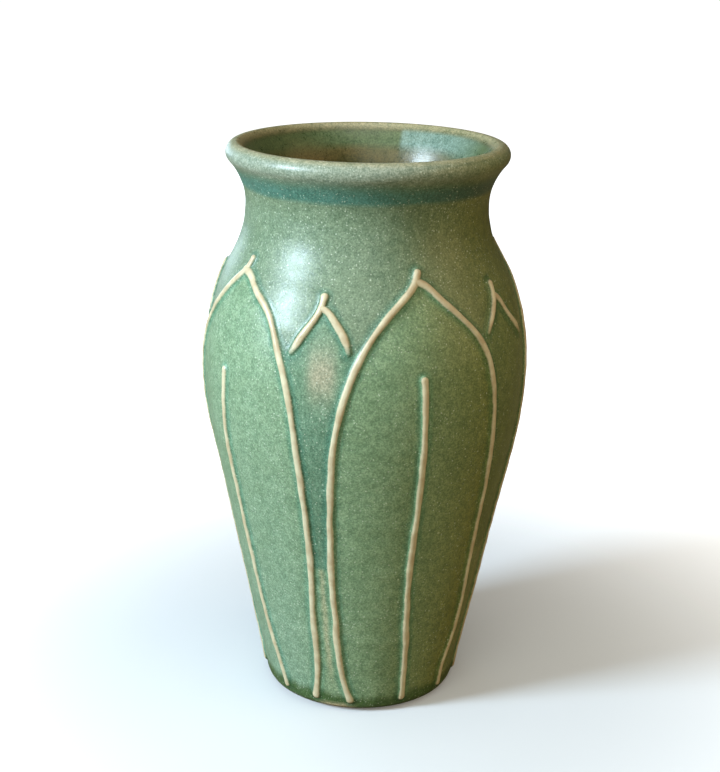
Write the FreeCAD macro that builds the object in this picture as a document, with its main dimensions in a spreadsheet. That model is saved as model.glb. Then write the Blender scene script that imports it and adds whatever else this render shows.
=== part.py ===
"""Hand-thrown stoneware vase with slip-trailed leaves under a matt glaze, as a parametric document.

Millimetres, +Z up, origin at the centre of the foot on the surface the vase stands on.
Azimuths are degrees about +Z from -Y, the front, and grow towards +X.
The clay is a thrown and turned shell. The glaze is a coat over it, outside and inside. Ten leaf
outlines stand out of the outer coat as beads of trailed slip.
"""
import FreeCAD, Part
import math
import os
from collections import namedtuple

import Sketcher

vec = FreeCAD.Vector
START, END, CENTRE = 1, 2, 3
ORIGIN = (-1, 1)
VERTICAL_AXIS = -2

# Driving dimensions of the bare clay, the glaze and the beads.
DIMENSIONS = {
    "clay_height": 177.5,
    "foot_land_radius": 26.6,
    "foot_curve": 4.0,
    "foot_ring_inner": 20.5,
    "foot_recess_bevel": 1.0,
    "foot_recess": 1.6,
    "belly_radius": 50.1,
    "belly_height": 109.4,
    "belly_curve_low": 108.5,
    "belly_curve_high": 69.5,
    "neck_radius": 36.9,
    "neck_height": 160.0,
    "neck_curve": 33.0,
    "lip_radius": 42.6,
    "lip_curve": 2.7,
    "lip_curve_inner": 1.0,
    "wall": 4.5,
    "floor_height": 7.5,
    "floor_curve": 14.0,
    "floor_flat_radius": 15.0,
    "glaze": 0.5,
    "glaze_edge": 1.5,
    "bead_width": 2.7,
    "bead_rise": 1.0,
}

# How far above and below a point the glazed outside is measured for its slope.
SLOPE_STEP = 0.5
# How far outside the glaze the curve runs that keeps a bead square to the surface.
GUIDE_OFFSET = 3.0
# How far apart two edges of a bead's skin may lie and still be sewn into one.
SEW_GAP = 0.01

# Half a leaf, as (height in mm, degrees out from the leaf's middle), from the shoulder to the foot.
LEAF_EDGES = {
    "plain": ((134.6, 13.3), (125.7, 21.0), (114.0, 26.6), (99.0, 30.3), (78.0, 32.3), (55.0, 33.2),
              (33.0, 32.2), (20.0, 31.2), (5.0, 26.0)),
    "flared": ((132.2, 17.2), (122.3, 25.3), (110.9, 28.3), (92.2, 30.6), (70.0, 33.4), (50.0, 34.9),
               (30.5, 37.4), (20.0, 35.9), (12.0, 32.6), (5.0, 32.8)),
    "full": ((135.1, 16.9), (125.0, 24.6), (115.2, 29.0), (100.4, 31.9), (80.0, 33.4), (58.0, 34.0),
             (33.0, 32.9), (12.0, 31.7), (5.0, 29.6)),
    "lean": ((135.6, 11.3), (129.0, 17.7), (119.0, 24.6), (107.0, 29.0), (88.0, 32.0), (60.0, 33.2),
             (30.0, 32.0), (5.0, 28.0)),
}
# The trail that is laid first runs past the leaf's point as a short stub; the second butts on it.
TIP_STUB = ((147.0, -0.2), (143.9, 0.5), (141.5, 3.7))
TIP_BUTT = ((143.3, 3.4), (140.4, 6.4))

# The line down a leaf's middle: (height, degrees off the middle).
MIDRIBS = {
    "upright": ((117.0, -0.7), (98.0, 0.0), (75.0, 0.2), (46.0, 0.3), (28.0, 2.4), (5.0, 4.6)),
    "swayed": ((113.5, 0.0), (98.0, -1.0), (70.0, -1.5), (46.0, -0.6), (28.0, 0.9), (12.0, 6.0),
               (5.0, 8.2)),
}

# name: azimuth, left edge, its width factor, right edge, its width factor, midrib, its side.
LEAVES = {
    "leaf_1": (20.7, "plain", 1.0, "flared", 1.0, "upright", 1),
    "leaf_2": (102.0, "full", 0.80, "lean", 0.86, "swayed", -1),
    "leaf_3": (169.0, "lean", 0.90, "plain", 0.88, "upright", -1),
    "leaf_4": (235.5, "plain", 0.90, "lean", 0.89, "swayed", 1),
    "leaf_5": (304.5, "lean", 1.0, "full", 1.0, "swayed", 1),
}

# A bud is a leaf's point alone. Its short arms: (height, degrees out from the bud's middle).
BUD_STUB = ((140.0, -0.2), (136.8, 0.3))
BUD_BUTT = ((136.3, 2.9),)
BUD_ARMS = {
    "short": ((133.6, 2.5), (130.3, 6.0), (127.6, 8.4)),
    "middling": ((133.6, 2.6), (129.8, 5.8), (126.0, 8.4), (124.2, 9.6)),
    "rounded": ((134.2, 4.1), (131.2, 7.4), (128.3, 9.3), (125.4, 10.2)),
    "long": ((133.3, 4.2), (129.8, 7.4), (126.4, 11.6), (123.6, 14.2)),
}
# name: azimuth, left arm, right arm.
BUDS = {
    "bud_1": (57.0, "short", "long"),
    "bud_2": (136.0, "middling", "rounded"),
    "bud_3": (202.3, "rounded", "long"),
    "bud_4": (269.0, "long", "rounded"),
    "bud_5": (344.4, "middling", "rounded"),
}


class Size:
    """A length and the sheet formula that drives it."""

    def __init__(self, value, formula):
        self.value = value
        self.formula = formula

    def __add__(self, other):
        return Size(self.value + other.value, f"({self.formula} + {other.formula})")

    def __sub__(self, other):
        return Size(self.value - other.value, f"({self.formula} - {other.formula})")


def size(name):
    return Size(DIMENSIONS[name], f"sizes.{name}")


NONE = Size(0.0, "0")

# A disc that an outline runs round. side is +1 where the outline turns anticlockwise. bound names
# the disc's own dimensions: what isn't bound follows from touching the discs on either side.
Disc = namedtuple("Disc", "x y r side bound joins")


def arch_radius(throat, throat_height, disc_x, disc_y, disc_r):
    """Radius of the curve that starts upright at the throat and meets the disc.

    The curve's centre is outside the throat. disc_r is negative where the curve wraps the disc.
    """
    across = throat - disc_x
    down = throat_height - disc_y
    return (disc_r ** 2 - across ** 2 - down ** 2) / (2 * (across - disc_r))


def outside_discs(coat):
    """The outside from the foot to the crest of the lip, with a coat of that thickness on it."""
    lip_x = size("lip_radius") - size("lip_curve")
    lip_y = size("clay_height") - size("lip_curve")
    arch = arch_radius(size("neck_radius").value, size("neck_height").value,
                       lip_x.value, lip_y.value, size("lip_curve").value)
    arch_x = Size(size("neck_radius").value + arch, None)
    arch_r = Size(arch - coat.value, None)
    belly_high_x = size("belly_radius") - size("belly_curve_high")
    return [
        Disc(size("foot_land_radius"), size("foot_curve"), size("foot_curve") + coat, 1, "xyr", "line"),
        Disc(size("belly_radius") - size("belly_curve_low"), size("belly_height"),
             size("belly_curve_low") + coat, 1, "xyr", "touch"),
        Disc(belly_high_x, size("belly_height"), size("belly_curve_high") + coat, 1, "yr", "line"),
        Disc(size("neck_radius") + size("neck_curve"), size("neck_height"),
             size("neck_curve") - coat, -1, "xyr", "touch"),
        Disc(arch_x, size("neck_height"), arch_r, -1, "y", "touch"),
        Disc(lip_x, lip_y, size("lip_curve") + coat, 1, "xyr", "touch"),
    ]


def inside_discs(coat, lip_bound):
    """The inside from the crest of the lip to the flat of the floor, with a coat on it."""
    wall = size("wall")
    throat = size("neck_radius") - wall
    lip_x = size("lip_radius") - size("lip_curve")
    lip_y = size("clay_height") - size("lip_curve_inner")
    arch = arch_radius(throat.value, size("neck_height").value,
                       lip_x.value, lip_y.value, -size("lip_curve_inner").value)
    arch_x = Size(throat.value + arch, None)
    arch_r = Size(arch + coat.value, None)
    belly_low_x = size("belly_radius") - size("belly_curve_low")
    return [
        Disc(lip_x, lip_y, size("lip_curve_inner") + coat, 1, lip_bound, "touch"),
        Disc(arch_x, size("neck_height"), arch_r, 1, "y", "touch"),
        Disc(size("neck_radius") + size("neck_curve"), size("neck_height"),
             size("neck_curve") + wall + coat, 1, "xyr", "line"),
        Disc(size("belly_radius") - size("belly_curve_high"), size("belly_height"),
             size("belly_curve_high") - wall - coat, -1, "xyr", "touch"),
        Disc(belly_low_x, size("belly_height"), size("belly_curve_low") - wall - coat, -1, "yr", "line"),
        Disc(size("floor_flat_radius"), size("floor_height") + size("floor_curve"),
             size("floor_curve") - coat, -1, "xyr", "end"),
    ]


def meeting_points(one, two):
    """Where the outline leaves one disc and reaches the next."""
    centre_one = vec(one.x.value, one.y.value, 0)
    centre_two = vec(two.x.value, two.y.value, 0)
    turn_one = one.side * one.r.value
    turn_two = two.side * two.r.value
    if one.joins == "touch":
        point = (centre_one * turn_two - centre_two * turn_one) / (turn_two - turn_one)
        return point, point
    gap = centre_two - centre_one
    heading = math.atan2(gap.y, gap.x) - math.acos((turn_one - turn_two) / gap.Length)
    normal = vec(math.cos(heading), math.sin(heading), 0)
    return centre_one + normal * turn_one, centre_two + normal * turn_two


def turned_angle(disc, point):
    return math.atan2(point.y - disc.y.value, point.x - disc.x.value)


def bind(sketch, name, constraint, length):
    """Add a dimension to a sketch and drive it from the sheet."""
    index = sketch.addConstraint(constraint)
    sketch.renameConstraint(index, name)
    sketch.setExpression(f"Constraints.{name}", length.formula)


def draw_chain(sketch, name, discs, first, last):
    """Draw tangent arcs and lines round the discs, and return the chain's two loose ends."""
    entries = [first]
    exits = []
    for one, two in zip(discs, discs[1:]):
        leave, reach = meeting_points(one, two)
        exits.append(leave)
        entries.append(reach)
    exits.append(last)

    ends = []
    for number, (disc, entry, leave) in enumerate(zip(discs, entries, exits)):
        centre = vec(disc.x.value, disc.y.value, 0)
        low, high = turned_angle(disc, entry), turned_angle(disc, leave)
        if disc.side < 0:
            low, high = high, low
        circle = Part.Circle(centre, vec(0, 0, 1), disc.r.value)
        arc = sketch.addGeometry(Part.ArcOfCircle(circle, low, high), False)
        tag = f"{name}_{number}"
        if "x" in disc.bound:
            bind(sketch, f"{tag}_x", distance("X", arc, CENTRE, disc.x), disc.x)
        if "y" in disc.bound:
            bind(sketch, f"{tag}_y", distance("Y", arc, CENTRE, disc.y), disc.y)
        if "r" in disc.bound:
            bind(sketch, f"{tag}_r", Sketcher.Constraint("Radius", arc, disc.r.value), disc.r)
        ends.append((arc, START, END) if disc.side > 0 else (arc, END, START))

    for number, (one, two) in enumerate(zip(ends, ends[1:])):
        if discs[number].joins == "touch":
            sketch.addConstraint(Sketcher.Constraint("Tangent", one[0], one[2], two[0], two[1]))
            continue
        line = sketch.addGeometry(Part.LineSegment(exits[number], entries[number + 1]), False)
        sketch.addConstraint(Sketcher.Constraint("Tangent", one[0], one[2], line, START))
        sketch.addConstraint(Sketcher.Constraint("Tangent", line, END, two[0], two[1]))
    return ends[0][:2], ends[-1][::2]


def distance(direction, geometry, point, length):
    """A coordinate of a point, as a distance from the sketch's origin."""
    return Sketcher.Constraint(f"Distance{direction}", *ORIGIN, geometry, point, length.value)


def plumb(sketch, end):
    """Keep an arc's end straight above or below its own centre."""
    sketch.addConstraint(Sketcher.Constraint("Vertical", end[0], CENTRE, end[0], end[1]))


def join(sketch, one, two):
    """Draw a straight line from one loose end to another, with both of its ends held."""
    line = sketch.addGeometry(Part.LineSegment(sketch.getPoint(*one), sketch.getPoint(*two)), False)
    sketch.addConstraint(Sketcher.Constraint("Coincident", line, START, *one))
    sketch.addConstraint(Sketcher.Constraint("Coincident", line, END, *two))
    return line


def run_to(sketch, start, point):
    """Draw a straight line from a loose end to a new point."""
    line = sketch.addGeometry(Part.LineSegment(sketch.getPoint(*start), point), False)
    sketch.addConstraint(Sketcher.Constraint("Coincident", line, START, *start))
    return line, END


def below(disc):
    return vec(disc.x.value, disc.y.value - disc.r.value, 0)


def above(disc):
    return vec(disc.x.value, disc.y.value + disc.r.value, 0)


def at_height(disc, height):
    """The outer point of a disc's rim at a height."""
    rise = height - disc.y.value
    return vec(disc.x.value + math.sqrt(disc.r.value ** 2 - rise ** 2), height, 0)


def new_body(label):
    """A body and an empty profile sketch in its own XZ plane."""
    body = doc.addObject("PartDesign::Body", label)
    body.Label = label
    sketch = body.newObject("Sketcher::SketchObject", f"{label}_profile")
    plane = next(item for item in body.Origin.OriginFeatures if item.Role == "XZ_Plane")
    sketch.AttachmentSupport = (plane, [""])
    sketch.MapMode = "FlatFace"
    return body, sketch


def turn(body, sketch):
    """Turn a profile about the vase's axis."""
    shell = body.newObject("PartDesign::Revolution", f"{body.Label}_turned")
    shell.Profile = sketch
    shell.ReferenceAxis = (sketch, ["V_Axis"])
    shell.Angle = 360
    body.Tip = shell
    body.Placement = FreeCAD.Placement()


def stoneware_body():
    """The thrown shell: one profile up the outside, over the lip, down the inside and back."""
    body, sketch = new_body("stoneware_body")
    discs = outside_discs(NONE) + inside_discs(NONE, "r")
    foot, floor = draw_chain(sketch, "clay", discs, below(discs[0]), below(discs[-1]))
    plumb(sketch, foot)
    plumb(sketch, floor)
    lip = len(outside_discs(NONE)) - 1
    plumb(sketch, (lip, END))

    ring, bevel = size("foot_ring_inner"), size("foot_recess_bevel")
    land = run_to(sketch, foot, vec(ring.value, 0, 0))
    sketch.addConstraint(Sketcher.Constraint("Horizontal", land[0]))
    bind(sketch, "ring_inner", distance("X", *land, ring), ring)

    recess = size("foot_recess")
    slope = run_to(sketch, land, vec((ring - bevel).value, recess.value, 0))
    bind(sketch, "recess_edge", distance("X", *slope, ring - bevel), ring - bevel)
    bind(sketch, "recess_height", distance("Y", *slope, recess), recess)

    ceiling = run_to(sketch, slope, vec(0, recess.value, 0))
    sketch.addConstraint(Sketcher.Constraint("Horizontal", ceiling[0]))
    sketch.addConstraint(Sketcher.Constraint("PointOnObject", *ceiling, VERTICAL_AXIS))

    core = run_to(sketch, ceiling, vec(0, size("floor_height").value, 0))
    sketch.addConstraint(Sketcher.Constraint("PointOnObject", *core, VERTICAL_AXIS))
    flat = join(sketch, core, floor)
    sketch.addConstraint(Sketcher.Constraint("Horizontal", flat))
    turn(body, sketch)
    return body


def outer_glaze():
    """The outside glaze, from just above the foot to the lip's crest."""
    body, sketch = new_body("outer_glaze")
    edge = size("glaze_edge")
    bottoms, tops = [], []
    for name, thickness in (("under", NONE), ("over", size("glaze"))):
        discs = outside_discs(thickness)
        bottom, top = draw_chain(sketch, name, discs, at_height(discs[0], edge.value), above(discs[-1]))
        bind(sketch, f"{name}_edge", distance("Y", *bottom, edge), edge)
        plumb(sketch, top)
        bottoms.append(bottom)
        tops.append(top)
    join(sketch, *bottoms)
    join(sketch, *tops)
    turn(body, sketch)
    return body, sketch


def liner_glaze():
    """The inside glaze, from the lip's crest down the wall and across the floor."""
    body, sketch = new_body("liner_glaze")
    tops, middles = [], []
    for name, thickness in (("under", NONE), ("over", size("glaze"))):
        discs = inside_discs(thickness, "xyr")
        top, floor = draw_chain(sketch, name, discs, above(discs[0]), below(discs[-1]))
        plumb(sketch, top)
        plumb(sketch, floor)
        height = size("floor_height") + thickness
        middle = run_to(sketch, floor, vec(0, height.value, 0))
        sketch.addConstraint(Sketcher.Constraint("Horizontal", middle[0]))
        sketch.addConstraint(Sketcher.Constraint("PointOnObject", *middle, VERTICAL_AXIS))
        tops.append(top)
        middles.append(middle)
    join(sketch, *tops)
    join(sketch, *middles)
    turn(body, sketch)
    return body


def coat_radius(height):
    """The radius of the glazed outside at a height."""
    ray = Part.makeLine(vec(0, 0, height), vec(sheet.get("clay_height"), 0, height))
    return max(vertex.X for vertex in coat_profile.Shape.section(ray).Vertexes)


def on_coat(height, azimuth):
    """The point of the glazed outside at a height and an azimuth, and the outward normal there."""
    angle = math.radians(azimuth)
    outward = vec(math.sin(angle), -math.cos(angle), 0)
    slope = (coat_radius(height + SLOPE_STEP) - coat_radius(height - SLOPE_STEP)) / (2 * SLOPE_STEP)
    normal = vec(outward.x, outward.y, -slope).normalize()
    return outward * coat_radius(height) + vec(0, 0, height), normal


def through(points):
    curve = Part.BSplineCurve()
    curve.interpolate(points)
    return curve


def rounded_end(section, heading):
    """The outer faces of a half-round end, turned from the left half of a bead's section.

    The section's edges are the left arc, the right arc, the right of the base and its left. The end
    lies on the side that the heading points to.
    """
    arc, base = section.Edges[0], section.Edges[3]
    corners = [vertex.Point for vertex in arc.Vertexes]
    middle = max((vertex.Point for vertex in base.Vertexes),
                 key=lambda point: min(point.distanceToPoint(corner) for corner in corners))
    crest = max(corners, key=lambda corner: min(corner.distanceToPoint(vertex.Point)
                                                for vertex in base.Vertexes))
    half = Part.Face(Part.Wire(Part.sortEdges([arc, Part.makeLine(crest, middle), base])[0]))
    for turned in (180, -180):
        end = half.revolve(middle, crest - middle, turned)
        if (end.CenterOfMass - middle).dot(heading) > 0:
            return [face for face in end.Faces if (face.CenterOfMass - middle).dot(heading) > SEW_GAP]
    raise RuntimeError("a bead's end didn't turn outward")


def bead(label, trail):
    """A rounded bead of slip that lies along the trail, with a half-round end at each end of it."""
    feet = [on_coat(height, azimuth) for height, azimuth in trail]
    path = through([point for point, normal in feet])
    guide = through([point + normal * GUIDE_OFFSET for point, normal in feet])

    point, normal = feet[0]
    heading = path.tangent(path.FirstParameter)[0]
    side = heading.cross(normal).normalize()
    up = side.cross(heading).normalize()
    half, rise = sheet.get("bead_width") / 2, sheet.get("bead_rise")
    radius = (half ** 2 + rise ** 2) / (2 * rise)
    left, crest, right = point - side * half, point + up * rise, point + side * half
    middle = crest - up * radius
    shoulders = [middle + (edge + crest - middle * 2).normalize() * radius for edge in (left, right)]
    section = Part.Wire([
        Part.Arc(left, shoulders[0], crest).toShape(),
        Part.Arc(crest, shoulders[1], right).toShape(),
        Part.makeLine(right, point),
        Part.makeLine(point, left),
    ])

    run = Part.BRepOffsetAPI.MakePipeShell(Part.Wire(path.toShape()))
    run.setAuxiliarySpine(Part.Wire(guide.toShape()), False, 0)
    run.add(section)
    run.build()
    faces = run.shape().Faces
    faces += rounded_end(run.firstShape(), heading * -1)
    faces += rounded_end(run.lastShape(), path.tangent(path.LastParameter)[0])
    skin = Part.makeShell(faces)
    skin.sewShape(SEW_GAP)

    piece = doc.addObject("Part::Feature", label)
    piece.Shape = Part.makeSolid(skin.Shells[0])
    piece.Placement = FreeCAD.Placement()
    piece.Label = label
    lines.append(piece)


def leaf(name, azimuth, left, left_width, right, right_width, midrib, midrib_side):
    """A tall leaf: two edges from the point to the foot, and the line down its middle."""
    left_half = [(height, azimuth - out * left_width) for height, out in LEAF_EDGES[left]]
    right_half = [(height, azimuth + out * right_width) for height, out in LEAF_EDGES[right]]
    bead(f"{name}_left_line", [(height, azimuth - out) for height, out in TIP_STUB] + left_half)
    bead(f"{name}_right_line", [(height, azimuth + out) for height, out in TIP_BUTT] + right_half)
    middle = [(height, azimuth + off * midrib_side) for height, off in MIDRIBS[midrib]]
    bead(f"{name}_midrib", middle)


def bud(name, azimuth, left, right):
    """A small leaf point between two tall leaves, with two short arms."""
    left_arm = [(height, azimuth - out) for height, out in BUD_STUB + BUD_ARMS[left]]
    right_arm = [(height, azimuth + out) for height, out in BUD_BUTT + BUD_ARMS[right]]
    bead(f"{name}_left_line", left_arm)
    bead(f"{name}_right_line", right_arm)


doc = FreeCAD.newDocument("vase")
sheet = doc.addObject("Spreadsheet::Sheet", "sizes")
for row, (name, value) in enumerate(DIMENSIONS.items(), start=1):
    sheet.set(f"A{row}", name)
    sheet.set(f"B{row}", str(value))
    sheet.setAlias(f"B{row}", name)
doc.recompute()

clay = stoneware_body()
coat, coat_profile = outer_glaze()
liner = liner_glaze()
doc.recompute()

lines = []
for name, leaf_shape in LEAVES.items():
    leaf(name, *leaf_shape)
for name, bud_shape in BUDS.items():
    bud(name, *bud_shape)
doc.recompute()

pieces = [clay, coat, liner] + lines
for item in doc.Objects:
    if "Invalid" in item.State or "Error" in item.State:
        raise RuntimeError(f"{item.Label} didn't recompute: {item.State}")
for piece in pieces:
    if piece.Shape.isNull() or not piece.Shape.isValid() or len(piece.Shape.Solids) != 1:
        raise RuntimeError(f"{piece.Label} isn't one valid solid")

os.makedirs("parts", exist_ok=True)
for piece in pieces:
    piece.Shape.exportStep(f"parts/{piece.Label}.step")
    print(f"{piece.Label}: {piece.Shape.Volume:.1f} mm3")
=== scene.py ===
"""The vase's looks: matt crystalline glaze, trailed slip lines and bare clay, round the CAD model.

Metres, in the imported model's frame: +Z up, the foot's centre at the origin. Azimuths are radians
about +Z from -Y, the front, and grow towards +X.
"""

import math

import bpy
import numpy as np
from mathutils import Matrix, Vector, kdtree


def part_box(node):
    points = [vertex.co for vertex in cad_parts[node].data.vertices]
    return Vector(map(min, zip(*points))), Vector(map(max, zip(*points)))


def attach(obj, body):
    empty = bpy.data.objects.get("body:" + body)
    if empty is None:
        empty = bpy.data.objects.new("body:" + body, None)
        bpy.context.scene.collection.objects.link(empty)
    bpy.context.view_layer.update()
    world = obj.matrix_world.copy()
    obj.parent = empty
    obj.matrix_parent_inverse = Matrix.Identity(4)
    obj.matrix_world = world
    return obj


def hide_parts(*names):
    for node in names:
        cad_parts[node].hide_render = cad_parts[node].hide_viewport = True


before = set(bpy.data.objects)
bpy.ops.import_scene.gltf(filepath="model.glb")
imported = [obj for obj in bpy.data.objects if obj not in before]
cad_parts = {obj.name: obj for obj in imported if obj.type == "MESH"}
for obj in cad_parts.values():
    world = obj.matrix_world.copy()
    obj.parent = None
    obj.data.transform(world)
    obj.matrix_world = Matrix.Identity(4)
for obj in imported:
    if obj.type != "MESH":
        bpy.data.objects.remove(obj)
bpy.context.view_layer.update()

MM = 0.001
GLAZE = 0.5 * MM
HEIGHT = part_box("outer_glaze")[1].z
FOOT_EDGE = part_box("outer_glaze")[0].z
# Each bud lies between the leaf of its own number and the next leaf round.
LEAVES = [f"leaf_{number}" for number in range(1, 6)]
BUDS = [f"bud_{number}" for number in range(1, 6)]
TURN = 2 * math.pi
# Points in a ring of the thrown surfaces, and where they stand.
AROUND = 340
AZIMUTHS = np.arange(AROUND) * TURN / AROUND


# -------------------------------------------------------- outlines read from the clay shell

def read_rings(side):
    """(radius, height) of the clay's rings on its outside (side 1) or its inside (side -1)."""
    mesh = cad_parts["stoneware_body"].data
    rings = set()
    for face in mesh.polygons:
        facing = face.normal.x * face.center.x + face.normal.y * face.center.y
        if facing * side < 0.02 * math.hypot(face.center.x, face.center.y):
            continue
        if side < 0 and face.center.z < 5 * MM:
            continue
        for index in face.vertices:
            point = mesh.vertices[index].co
            rings.add((round(math.hypot(point.x, point.y), 6), round(point.z, 6)))
    return np.array(sorted(rings, key=lambda ring: ring[1]))


def thin(rings, least):
    """Drop rings that nearly repeat the one before."""
    kept = [rings[0]]
    for ring in rings[1:-1]:
        if np.hypot(*(ring - kept[-1])) > least and np.hypot(*(ring - rings[-1])) > least:
            kept.append(ring)
    kept.append(rings[-1])
    return np.array(kept)


def smooth_outline(rings, coat, step):
    """Round off the rings into a close outline, moved outward by the coat's thickness."""
    chords = np.diff(rings, axis=0)
    lengths = np.hypot(chords[:, 0], chords[:, 1])
    units = chords / lengths[:, None]
    tangents = np.empty_like(rings)
    tangents[0], tangents[-1] = units[0], units[-1]
    weights = lengths[1:, None], lengths[:-1, None]
    inner = units[:-1] * weights[0] + units[1:] * weights[1]
    tangents[1:-1] = inner / np.hypot(inner[:, 0], inner[:, 1])[:, None]
    points, directions = [], []
    for number, length in enumerate(lengths):
        count = max(1, int(math.ceil(length / step)))
        for t in np.arange(count) / count:
            p0, p1 = rings[number], rings[number + 1]
            m0, m1 = tangents[number] * length, tangents[number + 1] * length
            points.append((2 * t**3 - 3 * t**2 + 1) * p0 + (t**3 - 2 * t**2 + t) * m0
                          + (3 * t**2 - 2 * t**3) * p1 + (t**3 - t**2) * m1)
            directions.append((6 * t**2 - 6 * t) * (p0 - p1) + (3 * t**2 - 4 * t + 1) * m0
                              + (3 * t**2 - 2 * t) * m1)
    points.append(rings[-1])
    directions.append(tangents[-1])
    points, directions = np.array(points), np.array(directions)
    directions /= np.hypot(directions[:, 0], directions[:, 1])[:, None]
    normals = np.stack([directions[:, 1], -directions[:, 0]], 1)
    return points + normals * coat, normals


OUTER_RINGS = thin(read_rings(1), 0.3 * MM)
INNER_RINGS = thin(read_rings(-1), 0.25 * MM)
FINE_OUTSIDE, FINE_NORMALS = smooth_outline(OUTER_RINGS, GLAZE, 0.4 * MM)


def outside_radius(height):
    return np.interp(height, FINE_OUTSIDE[:, 1], FINE_OUTSIDE[:, 0])


def outside_normal(height):
    """Radial and upward parts of the outside's normal at a height."""
    return (np.interp(height, FINE_OUTSIDE[:, 1], FINE_NORMALS[:, 0]),
            np.interp(height, FINE_OUTSIDE[:, 1], FINE_NORMALS[:, 1]))


# Keeps the wobble's outermost swell inside the CAD model's box.
WOBBLE_INWARD = 0.19


def hand_wobble(azimuth, height):
    """How far the thrown wall wanders from true: out of round, soft swells and throwing rings."""
    grip = np.clip((HEIGHT - height) / (25 * MM), 0.1, 1) * np.clip(height / (12 * MM), 0.1, 1)
    swell = 0.10 * np.sin(2 * azimuth + 0.7 + height * 9)
    swell += 0.06 * np.sin(3 * azimuth - 1.1 - height * 23)
    swell += 0.05 * np.sin(5 * azimuth + height * 61) * np.sin(height * 37 + 1)
    rings = 0.03 * np.sin(height / (8.5 * MM) * TURN + azimuth)
    rings += 0.02 * np.sin(height / (5.3 * MM) * TURN + azimuth + 2 * np.sin(2 * azimuth))
    return (swell + rings - WOBBLE_INWARD) * grip * MM


# -------------------------------------------------------- trailed lines read from their nodes

# A bead's points this far off the glaze may be on its crest.
CREST_LIFT = 0.8 * MM
# A crest point is as high as any point within the reach, give or take the slack.
CREST_REACH = 1.5 * MM
CREST_SLACK = 0.012 * MM
LINE_STEP = 0.7 * MM
SMOOTHINGS = 20
# How far from a trailed line the glaze still takes notice of it.
FAR = 6 * MM


def read_line(node):
    """(azimuth, height) along the crest of a trailed line, from its top end to its bottom one."""
    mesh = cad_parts[node].data
    points = np.unique(np.array([vertex.co for vertex in mesh.vertices]).round(5), axis=0)
    places = np.stack([np.hypot(points[:, 0], points[:, 1]), points[:, 2]], 1)
    apart = places[:, None] - FINE_OUTSIDE[None]
    lift = np.sqrt((apart ** 2).sum(2).min(1))
    points, lift = points[lift > CREST_LIFT], lift[lift > CREST_LIFT]
    nearby = kdtree.KDTree(len(points))
    for index, point in enumerate(points):
        nearby.insert(Vector(point), index)
    nearby.balance()
    around = [max(lift[found[1]] for found in nearby.find_range(Vector(point), CREST_REACH))
              for point in points]
    crest = points[lift > np.array(around) - CREST_SLACK]
    crest = crest[np.argsort(-crest[:, 2])]
    kept = [crest[0]]
    for point in crest[1:]:
        if np.linalg.norm(point - kept[-1]) > 0.3 * MM:
            kept.append(point)
    kept = np.array(kept)
    home = math.atan2(kept[0, 0], -kept[0, 1])
    turned = (np.arctan2(kept[:, 0], -kept[:, 1]) - home + math.pi) % TURN - math.pi
    places = np.stack([np.hypot(kept[:, 0], kept[:, 1]), kept[:, 2]], 1)
    nearest = ((places[:, None] - FINE_OUTSIDE[None]) ** 2).sum(2).argmin(1)
    return np.stack([home + turned, FINE_OUTSIDE[nearest, 1]], 1)


def on_surface(azimuth, height, lift=0.0):
    """Points on the glazed outside, or a lift off it."""
    radius = outside_radius(height) + hand_wobble(azimuth, height)
    out, up = outside_normal(height)
    radius = radius + out * lift
    return np.stack([radius * np.sin(azimuth), -radius * np.cos(azimuth), height + up * lift], -1)


def resample(line):
    """A line's points at even steps along the surface, smoothed."""
    places = on_surface(line[:, 0], line[:, 1])
    along = np.concatenate([[0], np.cumsum(np.linalg.norm(np.diff(places, axis=0), axis=1))])
    count = int(along[-1] / LINE_STEP)
    marks = np.linspace(0, along[-1], count + 1)
    line = np.stack([np.interp(marks, along, line[:, 0]), np.interp(marks, along, line[:, 1])], 1)
    for _ in range(SMOOTHINGS):
        line[1:-1] = (line[:-2] + 2 * line[1:-1] + line[2:]) / 4
    return line


def run_in(end, partner):
    """Two points that take a line's top end on into its partner, just above where they'd touch."""
    level = end[1] + 0.6 * MM
    meet = np.interp(level, partner[::-1, 1], partner[::-1, 0])
    return np.array([(meet, level), ((meet + end[0]) / 2, level - 0.2 * MM)])


LINE_NODES = [f"{leaf}_{part}" for leaf in LEAVES for part in ("left_line", "right_line", "midrib")]
LINE_NODES += [f"{bud}_{part}" for bud in BUDS for part in ("left_line", "right_line")]
LINES = {}
for node in LINE_NODES:
    trail = read_line(node)
    if node.endswith("right_line"):
        partner = LINES[node.replace("right", "left")]
        trail = np.concatenate([run_in(trail[0], partner), trail])
    LINES[node] = resample(trail)

TREE = kdtree.KDTree(sum(len(line) for line in LINES.values()))
serial = 0
for line in LINES.values():
    for place in on_surface(line[:, 0], line[:, 1]):
        TREE.insert(Vector(place), serial)
        serial += 1
TREE.balance()


def line_gaps(points):
    """Each point's distance from the nearest trailed line, in millimetres, up to a limit."""
    gaps = np.array([TREE.find(Vector(point))[2] for point in points])
    return np.minimum(gaps, FAR) / MM


def edge_azimuth(node, height):
    """A leaf edge's azimuth at a height; past its top it stays at the top's."""
    line = LINES[node][::-1]
    return np.interp(height, line[:, 1], line[:, 0])


def turned_from(azimuth, home):
    """The angle from one azimuth to another, within half a turn either way."""
    return (azimuth - home + math.pi) % TURN - math.pi


def fade(value, low, high):
    """0 below low, 1 above high and a smooth rise between; high may be the lower of the two."""
    t = np.clip((value - low) / (high - low), 0, 1)
    return t * t * (3 - 2 * t)


# A gap's two edges both lie within this angle of any point in it.
GAP_REACH = 1.2


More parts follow.
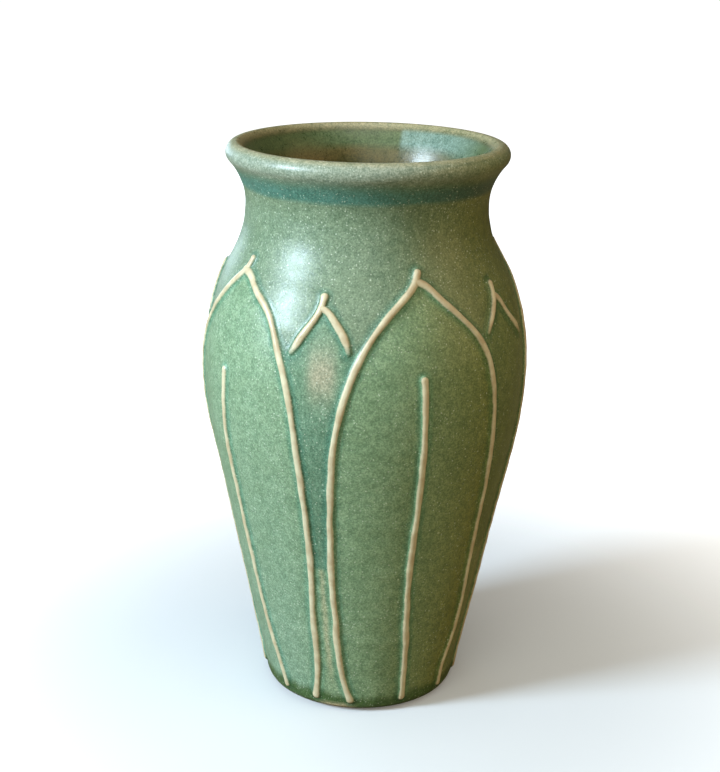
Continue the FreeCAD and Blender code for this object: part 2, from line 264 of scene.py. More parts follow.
def fields(azimuth, height):
    """Whether points lie in a leaf or in a gap below a bud, and how far off the gap's middle."""
    leaf = np.zeros_like(azimuth)
    gap = np.zeros_like(azimuth)
    middle = np.ones_like(azimuth)
    for name, after, bud in zip(LEAVES, LEAVES[1:] + LEAVES[:1], BUDS):
        left = edge_azimuth(f"{name}_left_line", height)
        past = turned_from(azimuth, edge_azimuth(f"{name}_right_line", height))
        tip = LINES[f"{name}_right_line"][0, 1]
        leaf[(turned_from(azimuth, left) > 0) & (past < 0) & (height < tip)] = 1
        arms = np.concatenate([LINES[f"{bud}_left_line"][::-1], LINES[f"{bud}_right_line"]])
        peak = arms[len(arms) // 2, 0]
        across = turned_from(arms[:, 0], peak)
        rank = np.argsort(across)
        roof = np.interp(turned_from(azimuth, peak), across[rank], arms[rank, 1])
        short = turned_from(edge_azimuth(f"{after}_left_line", height), azimuth)
        here = (past > 0) & (past < GAP_REACH) & (short > 0) & (short < GAP_REACH)
        here &= height < roof
        gap[here] = 1
        middle[here] = ((past - 0.55 * (past + short)) * outside_radius(height))[here]
    return leaf, gap, middle


# -------------------------------------------------------- colours laid on the glaze

SAGE = np.array([0.205, 0.310, 0.175])
# Painted light: a bluer, lighter green for the left side that faces the cool window, partly the
# glaze's own teal.
LIT_MINT = np.array([0.215, 0.325, 0.220])
# Painted shade: a dark olive for the right side away from the window, partly the glaze's own olive.
SHADED_OLIVE = np.array([0.165, 0.172, 0.030])
SHOULDER = np.array([0.160, 0.220, 0.140])
TEAL = np.array([0.085, 0.190, 0.135])
TURQUOISE = np.array([0.060, 0.190, 0.155])
TAN = np.array([0.360, 0.330, 0.190])
LIP_GREY = np.array([0.255, 0.300, 0.225])
ROSE = np.array([0.380, 0.350, 0.240])
PALE_GAP = np.array([0.270, 0.360, 0.220])
BUFF = np.array([0.560, 0.460, 0.290])
STREAK = np.array([0.480, 0.430, 0.270])
FOOT_POOL = np.array([0.045, 0.092, 0.022])
INSIDE = np.array([0.062, 0.060, 0.016])
INSIDE_GREEN = np.array([0.085, 0.120, 0.050])
INSIDE_BROWN = np.array([0.175, 0.118, 0.040])
# Painted light: a lighter green for the inner back-right wall where the window's light falls,
# partly pooled glaze.
LIT_POOL = np.array([0.170, 0.250, 0.200])


def mix(base, colour, share):
    """Each point's base colour, taken a share of the way to another colour."""
    return base + (np.asarray(colour) - base) * np.clip(share, 0, 1)[:, None]


def ripple(azimuth, height, pace):
    """A slow irregular wave round the vase, about -1 to 1."""
    return (np.sin(3 * azimuth + pace) + 0.7 * np.sin(7 * azimuth - 2 * pace + height * 40)
            + 0.5 * np.sin(13 * azimuth + 3 * pace)) / 2.2


def band_edge(azimuth, height):
    """The lower edge of the thick glaze under the lip, as a share of the vase's height."""
    return 0.9300 + 0.0012 * ripple(azimuth, height, 1.0)


# Share of the height at which the narrow gaps between leaves turn from teal to pale.
GAP_TURNS = 0.300, 0.308
# Middle and spread of the tan patch below bud_5: aside in radians, up as a share of the height.
PATCH_ASIDE, PATCH_WIDE = 0.25, 0.085
PATCH_UP, PATCH_TALL = 0.668, 0.040


def outside_tint(azimuth, height):
    """The glaze's colour over the outside, before its fine mottle, with painted light on the lit
    left side and painted shade on the shaded right side.
    """
    share = height / HEIGHT
    leaf, gap, middle = fields(azimuth, height)
    turned = turned_from(azimuth, 0)
    tint = np.tile(SAGE, (len(azimuth), 1))
    tint = mix(tint, SHOULDER, (1 - leaf) * (1 - gap) * 0.8)
    # Painted light: on the left side, facing the window, the leaves turn bluer and lighter, most
    # towards the foot; partly the glaze's own teal.
    lit_side = fade(turned, 0.1, -0.75) * fade(turned, -2.6, -1.4)
    tint = mix(tint, LIT_MINT, leaf * lit_side * (1.05 - share))

    teal_gap = gap * fade(share, *GAP_TURNS) * (0.65 - 0.2 * fade(share, 0.55, 0.70))
    tint = mix(tint, TEAL, teal_gap)
    pale_gap = gap * fade(share, *GAP_TURNS[::-1])
    tint = mix(tint, PALE_GAP, pale_gap * 0.6)
    streak = np.exp(-(middle / (0.8 * MM)) ** 2) * fade(share, 0.04, 0.12)
    tint = mix(tint, STREAK, pale_gap * streak * 0.6)
    aside = turned_from(azimuth, LINES["bud_5_left_line"][0, 0]) / PATCH_WIDE
    patch = np.exp(-(aside - PATCH_ASIDE) ** 4 - ((share - PATCH_UP) / PATCH_TALL) ** 2)
    tint = mix(tint, ROSE, gap * patch * 0.9)

    # Painted shade: the right side, away from the window, goes up to 92 percent of the way to dark
    # olive; partly the glaze's own olive.
    warm = fade(turned, 0.05, 1.05) * fade(turned, 2.1, 1.2)
    tint = mix(tint, SHADED_OLIVE, warm * (0.92 - 0.25 * (1 - leaf)))

    # On the painted-shade side the lip keeps more of the dark olive.
    thin_lip = fade(share, 0.955, 0.972)
    tint = mix(tint, LIP_GREY, thin_lip * (1 - 0.7 * warm))
    low_edge = band_edge(azimuth, height)
    band = fade(share, low_edge - 0.003, low_edge + 0.003)
    band = band * fade(share, 0.973 + 0.006 * ripple(azimuth, height, 2.0), 0.946)
    # The thick band under the lip is darker on the right side too, as painted shade.
    tint = mix(tint, TURQUOISE * (1 - 0.55 * warm[:, None]), band * 0.85)
    tint = mix(tint, TAN, fade(share, 0.992, 0.999) * 0.6)
    edge = 6.3 + 1.1 * ripple(azimuth, height, 4.0) + 0.9 * ripple(11 * azimuth, height, 7.0)
    pool = fade(height, (edge + 1.6) * MM, (edge - 1.6) * MM)
    tint = mix(tint, FOOT_POOL, pool * 0.9)
    bare = fade(height, (3.4 + 0.5 * ripple(azimuth, height, 9.0)) * MM, 2.6 * MM)
    bare = bare * np.exp(-((turned + 0.24) / 0.17) ** 4)
    return mix(tint, BUFF, bare * 0.85)


def inside_tint(azimuth, height):
    """The liner's colour: tan at the crest, a lighter green patch on the lit back-right side below
    it, painted light partly over pooled glaze, and dark olive lower.
    """
    share = height / HEIGHT
    turned = turned_from(azimuth, 0)
    tint = np.tile(INSIDE, (len(azimuth), 1))
    wave = 0.003 * ripple(azimuth, height, 5.0)
    green = fade(share, 0.950 + wave, 0.963 + wave) * fade(share, 0.994, 0.982)
    tint = mix(tint, INSIDE_GREEN, green)
    brown = np.exp(-((share - 0.946 - wave) / 0.007) ** 2)
    tint = mix(tint, INSIDE_BROWN, brown * 0.8)
    # Painted light: a lighter green on the inner back-right wall below the crest, where the
    # window's light falls past the rim; partly pooled glaze.
    pool = fade(turned, 2.86, 2.82) * fade(turned, 1.7, 2.4)
    pool = pool * fade(share, 0.948 + wave, 0.963 + wave) * fade(share, 0.995, 0.985)
    tint = mix(tint, LIT_POOL, pool)
    return mix(tint, TAN, fade(share, 0.985, 0.998) * 0.8)


# -------------------------------------------------------- meshes

def make_mesh(name, points, faces, material):
    """A smooth-shaded piece in the scene."""
    mesh = bpy.data.meshes.new(name)
    mesh.from_pydata([tuple(point) for point in points], [], faces)
    mesh.validate()
    mesh.materials.append(material)
    piece = bpy.data.objects.new(name, mesh)
    bpy.context.scene.collection.objects.link(piece)
    mesh.polygons.foreach_set("use_smooth", np.ones(len(mesh.polygons), bool))
    mesh.set_sharp_from_angle(angle=math.radians(50))
    return piece


def add_numbers(piece, name, values):
    """A number at each point, for the materials to read."""
    layer = piece.data.attributes.new(name, "FLOAT", "POINT")
    layer.data.foreach_set("value", np.asarray(values, np.float32))


def add_tint(piece, values):
    """The glaze's colour at each point, painted light and shade included, for the materials to
    read.
    """
    layer = piece.data.attributes.new("tint", "FLOAT_COLOR", "POINT")
    rgba = np.ones((len(values), 4), np.float32)
    rgba[:, :3] = np.clip(values, 0, 1)
    layer.data.foreach_set("color", rgba.ravel())


def strip_faces(rows, columns, closed=False):
    """Quads between rows of points that go right round; closed joins the last row to the first."""
    grid = np.arange(rows * columns).reshape(rows, columns)
    if closed:
        grid = np.concatenate([grid, grid[:1]])
    low, high = grid[:-1], grid[1:]
    quads = np.stack([low, np.roll(low, -1, 1), np.roll(high, -1, 1), high], -1)
    return quads.reshape(-1, 4).tolist()


def graded(outline, step, fine_step, fine_from):
    """Pick an outline's points at one step, and at a finer step above a height."""
    picked = [0]
    for number in range(1, len(outline)):
        wanted = fine_step if outline[number, 1] > fine_from else step
        if np.hypot(*(outline[number] - outline[picked[-1]])) >= wanted:
            picked.append(number)
    if picked[-1] != len(outline) - 1:
        picked[-1] = len(outline) - 1
    return outline[picked]


def foot_roll(azimuth, height):
    """The glaze's thick rolled edge just above the bare foot."""
    centre = (2.9 + 0.5 * ripple(azimuth, height, 4.0)) * MM
    return 0.16 * MM * np.exp(-((height - centre) / (1.1 * MM)) ** 2)


def band_step(azimuth, height):
    """The soft ledge where the thick glaze under the lip ends."""
    edge = band_edge(azimuth, height) * HEIGHT
    ledge = fade(height, edge - 0.7 * MM, edge + 0.5 * MM)
    return 0.10 * MM * ledge * fade(height, HEIGHT, HEIGHT - 9 * MM)


# Shares of the wall's wobble that reach the outside, and the inside and the foot.
OUTSIDE_WOBBLE, INSIDE_WOBBLE = 1, 0.5
# How far the glaze's hidden back face stands off the clay.
BACK = 0.06 * MM


def thrown_rows(outline, wobble):
    """An outline turned about the axis, with a share of the wall's wobble."""
    rows = []
    for radius, height in outline:
        rings = radius + hand_wobble(AZIMUTHS, height) * wobble
        rows.append(np.stack([rings * np.sin(AZIMUTHS), -rings * np.cos(AZIMUTHS),
                              np.full(AROUND, height)], 1))
    return rows


def glaze_coat(name, rows, tint, material):
    """A closed shell through rows of points, with its tint."""
    points = np.concatenate(rows)
    coat = make_mesh(name, points, strip_faces(len(rows), AROUND, True), material)
    add_tint(coat, tint(np.tile(AZIMUTHS, len(rows)), points[:, 2]))
    return coat


def set_ring_normals(piece, row, ring_normals):
    """Shade one ring of a piece by given normals, and the rest by its own."""
    normals = np.array([vertex.normal for vertex in piece.data.vertices])
    normals[row * AROUND:(row + 1) * AROUND] = ring_normals
    piece.data.normals_split_custom_set_from_vertices(normals.tolist())


def glaze_coats(outer_material, inner_material):
    """The fired coat as two shells: foot to crest outside, and crest to floor inside."""
    lip_zone = HEIGHT - 6 * MM
    outline, _ = smooth_outline(OUTER_RINGS, GLAZE, 0.05 * MM)
    up = graded(outline[outline[:, 1] >= FOOT_EDGE], 0.85 * MM, 0.35 * MM, lip_zone)
    inner, _ = smooth_outline(INNER_RINGS, -GLAZE, 0.05 * MM)
    down = graded(inner[::-1], 2.6 * MM, 0.3 * MM, lip_zone)
    floor = [(down[-1, 0] * share, down[-1, 1]) for share in (0.8, 0.6, 0.4, 0.2, 0.01)]
    down = np.concatenate([[up[-1]], down[1:], floor])

    outer = thrown_rows(up, OUTSIDE_WOBBLE)
    for row, (radius, height) in zip(outer, up):
        bulge = (foot_roll(AZIMUTHS, height) + band_step(AZIMUTHS, height)) / radius
        row[:, :2] *= 1 + bulge[:, None]
    inside = thrown_rows(down, INSIDE_WOBBLE)
    inside[0] = outer[-1]
    along_crest = np.roll(outer[-1], -1, 0) - np.roll(outer[-1], 1, 0)
    crest_normals = np.cross(along_crest, inside[1] - outer[-2])
    crest_normals /= np.linalg.norm(crest_normals, axis=1)[:, None]

    back, _ = smooth_outline(OUTER_RINGS, BACK, 0.4 * MM)
    back = graded(back[back[:, 1] >= FOOT_EDGE], 6 * MM, 1 * MM, lip_zone)[::-1]
    liner_back, _ = smooth_outline(INNER_RINGS, -BACK, 0.4 * MM)
    liner_back = graded(liner_back, 6 * MM, 1 * MM, lip_zone)
    liner_back = np.concatenate([[(0.01 * liner_back[0, 0], liner_back[0, 1])], liner_back])

    outer_coat = glaze_coat("glaze_outside", outer + thrown_rows(back, OUTSIDE_WOBBLE),
                            outside_tint, outer_material)
    points = np.array([vertex.co for vertex in outer_coat.data.vertices])
    add_numbers(outer_coat, "line_gap", line_gaps(points))
    add_numbers(outer_coat, "frost", frost(np.tile(AZIMUTHS, len(points) // AROUND), points[:, 2]))
    set_ring_normals(outer_coat, len(outer) - 1, crest_normals)

    inner_coat = glaze_coat("glaze_inside", inside + thrown_rows(liner_back, INSIDE_WOBBLE),
                            inside_tint, inner_material)
    count = len(inner_coat.data.vertices)
    add_numbers(inner_coat, "line_gap", np.full(count, FAR / MM))
    add_numbers(inner_coat, "frost", np.zeros(count))
    set_ring_normals(inner_coat, 0, crest_normals)
    return outer_coat, inner_coat


def frost(azimuth, height):
    """How thickly the pale crystals lie: most under the lip and over the shoulder."""
    share = height / HEIGHT
    ring = np.exp(-((share - 0.921 - 0.004 * ripple(azimuth, height, 6.0)) / 0.010) ** 2)
    return 0.62 + 0.2 * fade(share, 0.70, 0.86) + 0.5 * ring + 0.2 * ripple(azimuth, height, 3.0)


# A trailed bead's section: (part of its half width, part of its rise), from the crest outward.
SECTION = ((0.0, 1.0), (0.16, 0.985), (0.32, 0.93), (0.46, 0.84), (0.58, 0.72), (0.69, 0.57),
           (0.79, 0.41), (0.89, 0.26), (1.0, 0.145), (1.15, 0.07), (1.35, 0.03), (1.7, 0.0),
           (2.2, 0.0))
HALF_WIDTH = 1.4 * MM
RISE = 0.93 * MM
# Heights of a bead's thin skirt and of its hidden underside off the glaze.
SKIRT_LIFT = 0.03 * MM
ROOT = -0.22 * MM
# Steps round each end of a bead.
FAN = 12


def trailed_bead(node, number, material):
    """A bead along a line, with its flanks run out thin over the glaze and a blob at each end."""
    line = LINES[node]
    azimuth, height = line[:, 0], line[:, 1]
    out, _ = outside_normal(height)
    radius = outside_radius(height)
    east = np.gradient(azimuth) * radius
    north = np.gradient(height) / out
    length = np.hypot(east, north)
    east, north = east / length, north / length
    marks = np.arange(len(line)) * LINE_STEP / MM
    girth = 0.98 + 0.08 * np.sin(marks / 5.1 + number) + 0.05 * np.sin(marks / 2.3 + 2 * number)
    lift = 0.97 + 0.07 * np.sin(marks / 6.7 + 3 * number) - 0.10 * fade(height, 20 * MM, 3 * MM)
    blob = 1 + 0.10 * np.exp(-marks / 1.2) + 0.08 * np.exp(-(marks[-1] - marks) / 1.5)
    girth, lift = girth * blob, lift * np.minimum(blob, 1.05)
    shown = np.ones(len(line))
    if node.startswith("bud"):
        spent = fade(marks, marks[-1] - 4.5, marks[-1] + 0.5)
        girth, lift = girth * (1 - 0.20 * spent), lift * (1 - 0.40 * spent)
        shown = 1 - 0.50 * spent

    points, crests = [], []

    def place(station, side_e, side_n, reach, rise):
        offset = HALF_WIDTH * girth[station] * reach
        a = azimuth[station] + side_e * offset / radius[station]
        h = height[station] + side_n * offset * out[station]
        h = max(h, FOOT_EDGE + 0.15 * MM)
        level = SKIRT_LIFT + RISE * lift[station] * rise
        points.append(on_surface(np.array(a), np.array(h), level))
        crests.append(rise * shown[station])
        return len(points) - 1

    faces = []
    levels = len(SECTION)
    spans = []
    for station in range(len(line)):
        side = north[station], -east[station]
        left = [place(station, -side[0], -side[1], *SECTION[level])
                for level in range(levels - 1, 0, -1)]
        middle = [place(station, 0, 0, *SECTION[0])]
        right = [place(station, side[0], side[1], *SECTION[level]) for level in range(1, levels)]
        spans.append(left + middle + right)
    for before, after in zip(spans, spans[1:]):
        for k in range(len(before) - 1):
            faces.append((before[k], before[k + 1], after[k + 1], after[k]))

    rims = []
    for end, sign in ((0, -1), (len(line) - 1, 1)):
        span = spans[end]
        middle = span[levels - 1]
        rays = [[middle] + span[levels:]]
        for k in range(1, FAN):
            angle = math.pi * k / FAN
            side_e = north[end] * math.cos(angle) + sign * east[end] * math.sin(angle)
            side_n = -east[end] * math.cos(angle) + sign * north[end] * math.sin(angle)
            rays.append([middle] + [place(end, side_e, side_n, *SECTION[level])
                                    for level in range(1, levels)])
        rays.append([middle] + span[levels - 2::-1])
        for one, two in zip(rays, rays[1:]):
            for k in range(levels - 1):
                corners = [one[k], one[k + 1], two[k + 1], two[k]]
                if k == 0:
                    corners = corners[:3]
                faces.append(tuple(corners if sign > 0 else corners[::-1]))
        rims.append([ray[-1] for ray in rays])

    # The rim, round the far end, back down the left side, round the near end and up the right.
    rim = [span[-1] for span in spans] + rims[1][1:-1] + [span[0] for span in spans[::-1]]
    rim += rims[0][::-1][1:-1]
    tops = np.array([points[index] for index in rim])
    turned = np.arctan2(tops[:, 0], -tops[:, 1])
    below = len(points)
    for a, h in zip(turned, tops[:, 2]):
        points.append(on_surface(np.array(a), np.array(max(h, FOOT_EDGE)), ROOT))
        crests.append(0)
    count = len(rim)
    for k in range(count):
        after = (k + 1) % count
        faces.append((rim[k], below + k, below + after, rim[after]))
    stations = len(spans)
    right_below = [below + k for k in range(stations)]
    left_below = [below + stations + FAN - 1 + k for k in range(stations)][::-1]
    for k in range(stations - 1):
        faces.append((right_below[k], left_below[k], left_below[k + 1], right_below[k + 1]))
    faces.append(tuple(below + stations - 1 + k for k in range(FAN + 1)))
    near_arc = [below + count - FAN + 1 + k for k in range(FAN - 1)]
    faces.append(tuple([left_below[0]] + near_arc + [right_below[0]]))

    points = np.array(points)
    name = node.replace("line", "bead").replace("midrib", "midrib_bead")
    piece = make_mesh(name, points, faces, material)
    places = np.arctan2(points[:, 0], -points[:, 1])
    # The beads take the same tint, painted light and shade included.
    add_tint(piece, outside_tint(places, points[:, 2]))
    add_numbers(piece, "line_gap", line_gaps(points))
    add_numbers(piece, "crest", crests)
    add_numbers(piece, "frost", frost(places, points[:, 2]))
    return piece


def read_bottom():
    """The outline under the foot, from the middle of the recess out to the ring it stands on."""
    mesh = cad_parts["stoneware_body"].data
    rings = set()
    for vertex in mesh.vertices:
        radius = math.hypot(vertex.co.x, vertex.co.y)
        if vertex.co.z < 3 * MM and radius < 21 * MM:
            rings.add((round(radius, 5), round(vertex.co.z, 5)))
    rings = sorted(rings)
    edge = rings[-1]
    recess = max(ring[1] for ring in rings)
    wall = [ring for ring in rings if ring[1] == recess][-1]
    grooves = []
    for radius in np.arange(0.2 * MM, wall[0] - 0.5 * MM, 0.45 * MM):
        depth = 0.10 * MM * math.sin(radius / (2.3 * MM) * TURN)
        depth += 0.25 * MM * math.exp(-(radius / (3 * MM)) ** 2)
        grooves.append((radius, recess - 0.1 * MM - max(depth, -0.1 * MM)))
    rounded = [(wall[0], recess - 0.12 * MM), (wall[0] + 0.3 * MM, recess * 0.6),
               (edge[0] - 0.3 * MM, 0.3 * MM), (edge[0] + 0.05 * MM, 0.06 * MM),
               (edge[0] + 0.5 * MM, 0.0)]
    land = OUTER_RINGS[0][0]
    level = [(radius, 0.0) for radius in np.linspace(edge[0] + 1.2 * MM, land - 0.6 * MM, 6)]
    return np.array(grooves + rounded + level)


def clay_body(material):
    """The bare thrown shell under the glaze, with turning rings under the foot."""
    lip_zone = HEIGHT - 8 * MM
    outer = graded(smooth_outline(OUTER_RINGS, 0, 0.2 * MM)[0], 3 * MM, 0.6 * MM, lip_zone)
    low = graded(smooth_outline(OUTER_RINGS, 0, 0.1 * MM)[0][:60], 0.4 * MM, 0.4 * MM, HEIGHT)
    outer = np.concatenate([low, outer[outer[:, 1] > low[-1, 1] + 0.3 * MM]])
    inner = graded(smooth_outline(INNER_RINGS, 0, 0.2 * MM)[0], 3 * MM, 0.6 * MM, lip_zone)[::-1]
    hidden = np.concatenate([inner[1:], [(0.2 * MM, inner[-1, 1])], read_bottom()])
    rows = thrown_rows(outer, OUTSIDE_WOBBLE) + thrown_rows(hidden, INSIDE_WOBBLE)
    points = np.concatenate(rows)
    return make_mesh("clay_body", points, strip_faces(len(rows), AROUND, True), material)


# -------------------------------------------------------- materials

# Of a Mix node's inputs of one name, the one that takes a colour.
COLOUR_SOCKET = 2


class Nodes:
    """Short calls for building a material's node tree."""

    def __init__(self, name):
        self.material = bpy.data.materials.new(name)
        self.material.use_nodes = True
        self.tree = self.material.node_tree
        self.shader = self.tree.nodes["Principled BSDF"]
        self.place = self.tree.nodes.new("ShaderNodeTexCoord").outputs["Object"]

    def link(self, source, socket):
        if isinstance(source, (int, float)):
            socket.default_value = source
        elif isinstance(source, (tuple, list, np.ndarray)):
            parts = (*[float(part) for part in source], 1.0)
            socket.default_value = parts[:len(socket.default_value)]
        else:
            self.tree.links.new(source, socket)

    def attribute(self, name, output):
        node = self.tree.nodes.new("ShaderNodeAttribute")
        node.attribute_name = name
        return node.outputs[output]

    def math(self, operation, one, two=0.0, three=0.0):
        node = self.tree.nodes.new("ShaderNodeMath")
        node.operation = operation
        for source, socket in zip((one, two, three), node.inputs):
            self.link(source, socket)
        return node.outputs[0]

    def ramp(self, value, low, high, to_low=0.0, to_high=1.0):
        node = self.tree.nodes.new("ShaderNodeMapRange")
        node.interpolation_type = "SMOOTHSTEP"
        for source, key in zip((value, low, high, to_low, to_high),
                               ("Value", "From Min", "From Max", "To Min", "To Max")):
            self.link(source, node.inputs[key])
        return node.outputs["Result"]

    def noise(self, size, detail=2.0, roughness=0.55):
        node = self.tree.nodes.new("ShaderNodeTexNoise")
        self.link(self.place, node.inputs["Vector"])
        node.inputs["Scale"].default_value = 1 / size
        node.inputs["Detail"].default_value = detail
        node.inputs["Roughness"].default_value = roughness
        return node.outputs["Fac"]

    def cells(self, size):
        node = self.tree.nodes.new("ShaderNodeTexVoronoi")
        self.link(self.place, node.inputs["Vector"])
        node.inputs["Scale"].default_value = 1 / size
        parts = self.tree.nodes.new("ShaderNodeSeparateColor")
        self.tree.links.new(node.outputs["Color"], parts.inputs[0])
        return node.outputs["Distance"], parts.outputs[0], parts.outputs[1]

    def blend(self, share, one, two, mode="MIX"):
        node = self.tree.nodes.new("ShaderNodeMix")
        node.data_type = "RGBA"
        node.blend_type = mode
        self.link(share, node.inputs["Factor"])
        self.link(one, [socket for socket in node.inputs if socket.name == "A"][COLOUR_SOCKET])
        self.link(two, [socket for socket in node.inputs if socket.name == "B"][COLOUR_SOCKET])
        return [socket for socket in node.outputs if socket.type == "RGBA"][0]

    def bump(self, height, strength, depth, normal=None):
        node = self.tree.nodes.new("ShaderNodeBump")
        node.inputs["Strength"].default_value = strength
        node.inputs["Distance"].default_value = depth
        self.link(height, node.inputs["Height"])
        if normal:
            self.link(normal, node.inputs["Normal"])
        return node.outputs["Normal"]


def glazed(name, slip_shows, smoothest=0.32, flecks=0.3):
    """Matt glaze over its tint: mottle, pale crystals, pools along lines, and slip on crests."""
    n = Nodes(name)
    tint = n.attribute("tint", "Color")
    gap = n.attribute("line_gap", "Fac")
    crystals = n.attribute("frost", "Fac")
    cloud = n.noise(9 * MM, 3.0)
    mottle = n.noise(2.2 * MM, 3.0, 0.65)
    grain = n.noise(0.55 * MM, 2.0)

    clouding = n.blend(cloud, (0.82, 0.84, 0.80), (1.20, 1.16, 1.22))
    colour = n.blend(1.0, tint, clouding, "MULTIPLY")
    mottling = n.blend(n.ramp(mottle, 0.3, 0.7), (0.80, 0.85, 0.84), (1.17, 1.13, 1.14))
    colour = n.blend(1.0, colour, mottling, "MULTIPLY")

    wander = n.math("MULTIPLY_ADD", mottle, 1.6, -0.8)
    from_line = n.math("ADD", gap, wander)
    pooled = n.ramp(from_line, 3.3, 1.8)
    deep = n.blend(1.0, colour, (0.50, 0.78, 0.82), "MULTIPLY")
    colour = n.blend(n.math("MULTIPLY", pooled, 0.65), colour, deep)

    where = n.math("MULTIPLY", crystals, n.ramp(cloud, 0.25, 0.75, 0.5, 1.3))
    pale = 0.0
    for spacing, strength in ((0.55 * MM, 0.50), (1.0 * MM, 0.85)):
        near, lot, size = n.cells(spacing)
        spot = n.ramp(near, n.math("MULTIPLY_ADD", size, 0.20, 0.16), 0.07)
        present = n.math("MULTIPLY", spot, n.math("GREATER_THAN", where, lot))
        pale = n.math("MAXIMUM", pale, n.math("MULTIPLY", present, strength))
    colour = n.blend(pale, colour, n.blend(0.75, colour, (0.66, 0.72, 0.58)))

    near_dark, lot_dark, _ = n.cells(3.1 * MM)
    fleck = n.math("MULTIPLY", n.ramp(near_dark, 0.10, 0.04), n.math("LESS_THAN", lot_dark, 0.35))
    colour = n.blend(n.math("MULTIPLY", fleck, flecks), colour, (0.11, 0.10, 0.045))
    graining = n.blend(n.ramp(grain, 0.3, 0.7), (0.73, 0.76, 0.72), (1.27, 1.24, 1.27))
    colour = n.blend(1.0, colour, graining, "MULTIPLY")

    if slip_shows:
        crest = n.attribute("crest", "Fac")
        bared = n.math("MULTIPLY_ADD", n.math("SUBTRACT", mottle, 0.5), 0.45, crest)
        shown = n.ramp(bared, 0.30, 0.80)
        patches = n.ramp(n.noise(4 * MM, 2.0), 0.3, 0.7)
        cream = n.blend(patches, (0.62, 0.46, 0.29), (0.78, 0.66, 0.46))
        veiled = n.blend(0.07, cream, tint)
        colour = n.blend(n.math("MULTIPLY", shown, 0.90), colour, veiled)
    n.link(colour, n.shader.inputs["Base Color"])
    n.link(n.ramp(mottle, 0.25, 0.75, smoothest, smoothest + 0.10), n.shader.inputs["Roughness"])
    n.shader.inputs["IOR"].default_value = 1.5
    relief = n.bump(grain, 0.5, 0.05 * MM)
    relief = n.bump(mottle, 0.5, 0.10 * MM, relief)
    n.link(n.bump(pale, 0.4, 0.05 * MM, relief), n.shader.inputs["Normal"])
    return n.material


def bare_clay():
    """Dry fired stoneware with dark grit."""
    n = Nodes("bare_stoneware")
    grit = n.noise(0.5 * MM, 3.0, 0.6)
    cloud = n.noise(7 * MM, 2.0)
    colour = n.blend(cloud, (0.47, 0.33, 0.19), (0.62, 0.47, 0.30))
    near, lot, _ = n.cells(1.3 * MM)
    fleck = n.math("MULTIPLY", n.ramp(near, 0.20, 0.10), n.math("LESS_THAN", lot, 0.3))
    colour = n.blend(n.math("MULTIPLY", fleck, 0.6), colour, (0.20, 0.12, 0.06))
    colour = n.blend(1.0, colour, n.blend(grit, (0.85, 0.85, 0.85), (1.12, 1.12, 1.12)), "MULTIPLY")
    n.link(colour, n.shader.inputs["Base Color"])
    n.link(n.ramp(grit, 0.2, 0.8, 0.75, 0.92), n.shader.inputs["Roughness"])
    n.link(n.bump(grit, 0.6, 0.12 * MM), n.shader.inputs["Normal"])
    return n.material


# -------------------------------------------------------- the vase

outer_glaze = glazed("matt_glaze", False)
inner_glaze = glazed("liner_glaze", False, 0.26, 0.12)
slip_glaze = glazed("glazed_slip", True)

outside_coat, inside_coat = glaze_coats(outer_glaze, inner_glaze)
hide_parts("outer_glaze")
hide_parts("liner_glaze")
body = clay_body(bare_clay())
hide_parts("stoneware_body")
pieces = [outside_coat, inside_coat, body]
for number, node in enumerate(LINE_NODES):
    bead = trailed_bead(node, number, slip_glaze)
    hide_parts(node)
    pieces.append(bead)
for piece in pieces:
    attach(piece, "root")

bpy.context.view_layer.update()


# -------------------------------------------------------- studio

def softbox(name, azimuth, elevation, distance, width, height, watts, colour):
    """A soft area light aimed at the vase's middle."""
    a, e = math.radians(azimuth), math.radians(elevation)
    aim = Vector((0, 0, HEIGHT / 2))
    light = bpy.data.lights.new(name, "AREA")
    light.shape = "RECTANGLE"
    light.size, light.size_y = width, height
    light.energy = watts
    light.color = colour
    lamp = bpy.data.objects.new(name, light)
    away = Vector((math.sin(a) * math.cos(e), -math.cos(a) * math.cos(e), math.sin(e)))
    lamp.location = aim + away * distance
    lamp.rotation_euler = away.to_track_quat("Z", "Y").to_euler()
    bpy.context.scene.collection.objects.link(lamp)


softbox("window", -65, 24, 1.0, 0.24, 0.30, 16.0, (0.69, 0.87, 1.0))
softbox("window_behind", -150, 6, 1.0, 0.5, 0.24, 1.6, (0.70, 0.88, 1.0))
softbox("overhead", -10, 80, 1.2, 0.9, 0.9, 6.0, (1.0, 0.94, 0.82))
softbox("front", -12, 28, 1.6, 1.3, 1.3, 9.0, (0.95, 1.0, 0.86))
softbox("room", 72, 22, 1.4, 1.1, 1.1, 4.6, (1.0, 0.72, 0.32))


def studio_world():
    """A faint warm surround that the camera sees as a white backdrop."""
    world = bpy.data.worlds.new("studio")
    bpy.context.scene.world = world
    world.use_nodes = True
    tree = world.node_tree
    sky = tree.nodes["Background"]
    sky.inputs["Color"].default_value = (1.0, 0.93, 0.80, 1.0)
    sky.inputs["Strength"].default_value = 0.05
    seen = tree.nodes.new("ShaderNodeBackground")
    seen.inputs["Color"].default_value = (1.0, 1.0, 1.0, 1.0)
    shown_to_camera(tree, sky, seen, tree.nodes["World Output"])


def shown_to_camera(tree, other, seen, output):
    """Send one shader to the camera and another to everything else."""
    ray = tree.nodes.new("ShaderNodeLightPath")
    either = tree.nodes.new("ShaderNodeMixShader")
    tree.links.new(ray.outputs["Is Camera Ray"], either.inputs[0])
    tree.links.new(other.outputs[0], either.inputs[1])
    tree.links.new(seen.outputs[0], either.inputs[2])
    tree.links.new(either.outputs[0], output.inputs["Surface"])


studio_world()

FLOOR_SIDES = 96


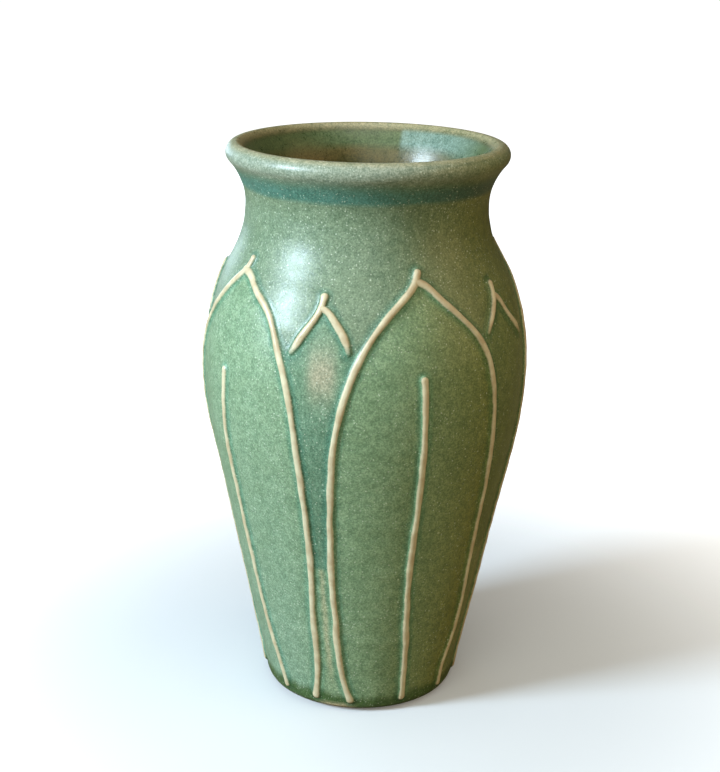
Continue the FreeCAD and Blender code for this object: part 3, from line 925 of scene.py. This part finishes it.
def floor_disc(name, rings, material):
    """A flat disc on the ground, in rings from the outermost to the inmost."""
    around = np.arange(FLOOR_SIDES) * TURN / FLOOR_SIDES
    points = [(ring * math.sin(a), -ring * math.cos(a), 0.0) for ring in rings for a in around]
    inmost = len(points) - FLOOR_SIDES
    fan = [(inmost + k, inmost + (k + 1) % FLOOR_SIDES, len(points)) for k in range(FLOOR_SIDES)]
    mesh = bpy.data.meshes.new(name)
    mesh.from_pydata(points + [(0, 0, 0)], [], strip_faces(len(rings), FLOOR_SIDES) + fan)
    mesh.materials.append(material)
    disc = bpy.data.objects.new(name, mesh)
    bpy.context.scene.collection.objects.link(disc)
    return disc


def pale_paper():
    """White paper that glows towards its far edge, so that it meets the backdrop with no line."""
    n = Nodes("pale_paper")
    n.shader.inputs["Base Color"].default_value = (0.68, 0.70, 0.74, 1.0)
    n.shader.inputs["Roughness"].default_value = 1.0
    n.shader.inputs["Specular IOR Level"].default_value = 0.0
    n.shader.inputs["Emission Color"].default_value = (1.0, 1.0, 1.0, 1.0)
    span = n.tree.nodes.new("ShaderNodeVectorMath")
    span.operation = "LENGTH"
    n.link(n.place, span.inputs[0])
    glow = n.ramp(span.outputs["Value"], 0.07, 0.28, 0.10, 1.0)
    n.link(glow, n.shader.inputs["Emission Strength"])
    dim = n.tree.nodes.new("ShaderNodeBsdfDiffuse")
    dim.inputs["Color"].default_value = (0.22, 0.18, 0.10, 1.0)
    shown_to_camera(n.tree, dim, n.shader, n.tree.nodes["Material Output"])
    return n.material


floor = floor_disc("floor", (20, 4, 2, 1, 0.5, 0.2), pale_paper())

# The one camera that fits the photo's outline, lip ellipse, glaze band and trailed lines.
camera = bpy.data.cameras.new("camera")
camera.sensor_fit = "VERTICAL"
camera.sensor_height = 36.0
camera.lens = 68.57
eye = bpy.data.objects.new("camera", camera)
eye.matrix_world = (Matrix.Translation((0.0, -0.445, 0.2465))
                    @ Matrix.Rotation(math.radians(0.173), 4, "Z")
                    @ Matrix.Rotation(math.radians(90 - 18.23), 4, "X")
                    @ Matrix.Rotation(math.radians(0.92), 4, "Z"))
bpy.context.scene.collection.objects.link(eye)
bpy.context.scene.camera = eye
bpy.context.scene.view_settings.view_transform = "Standard"
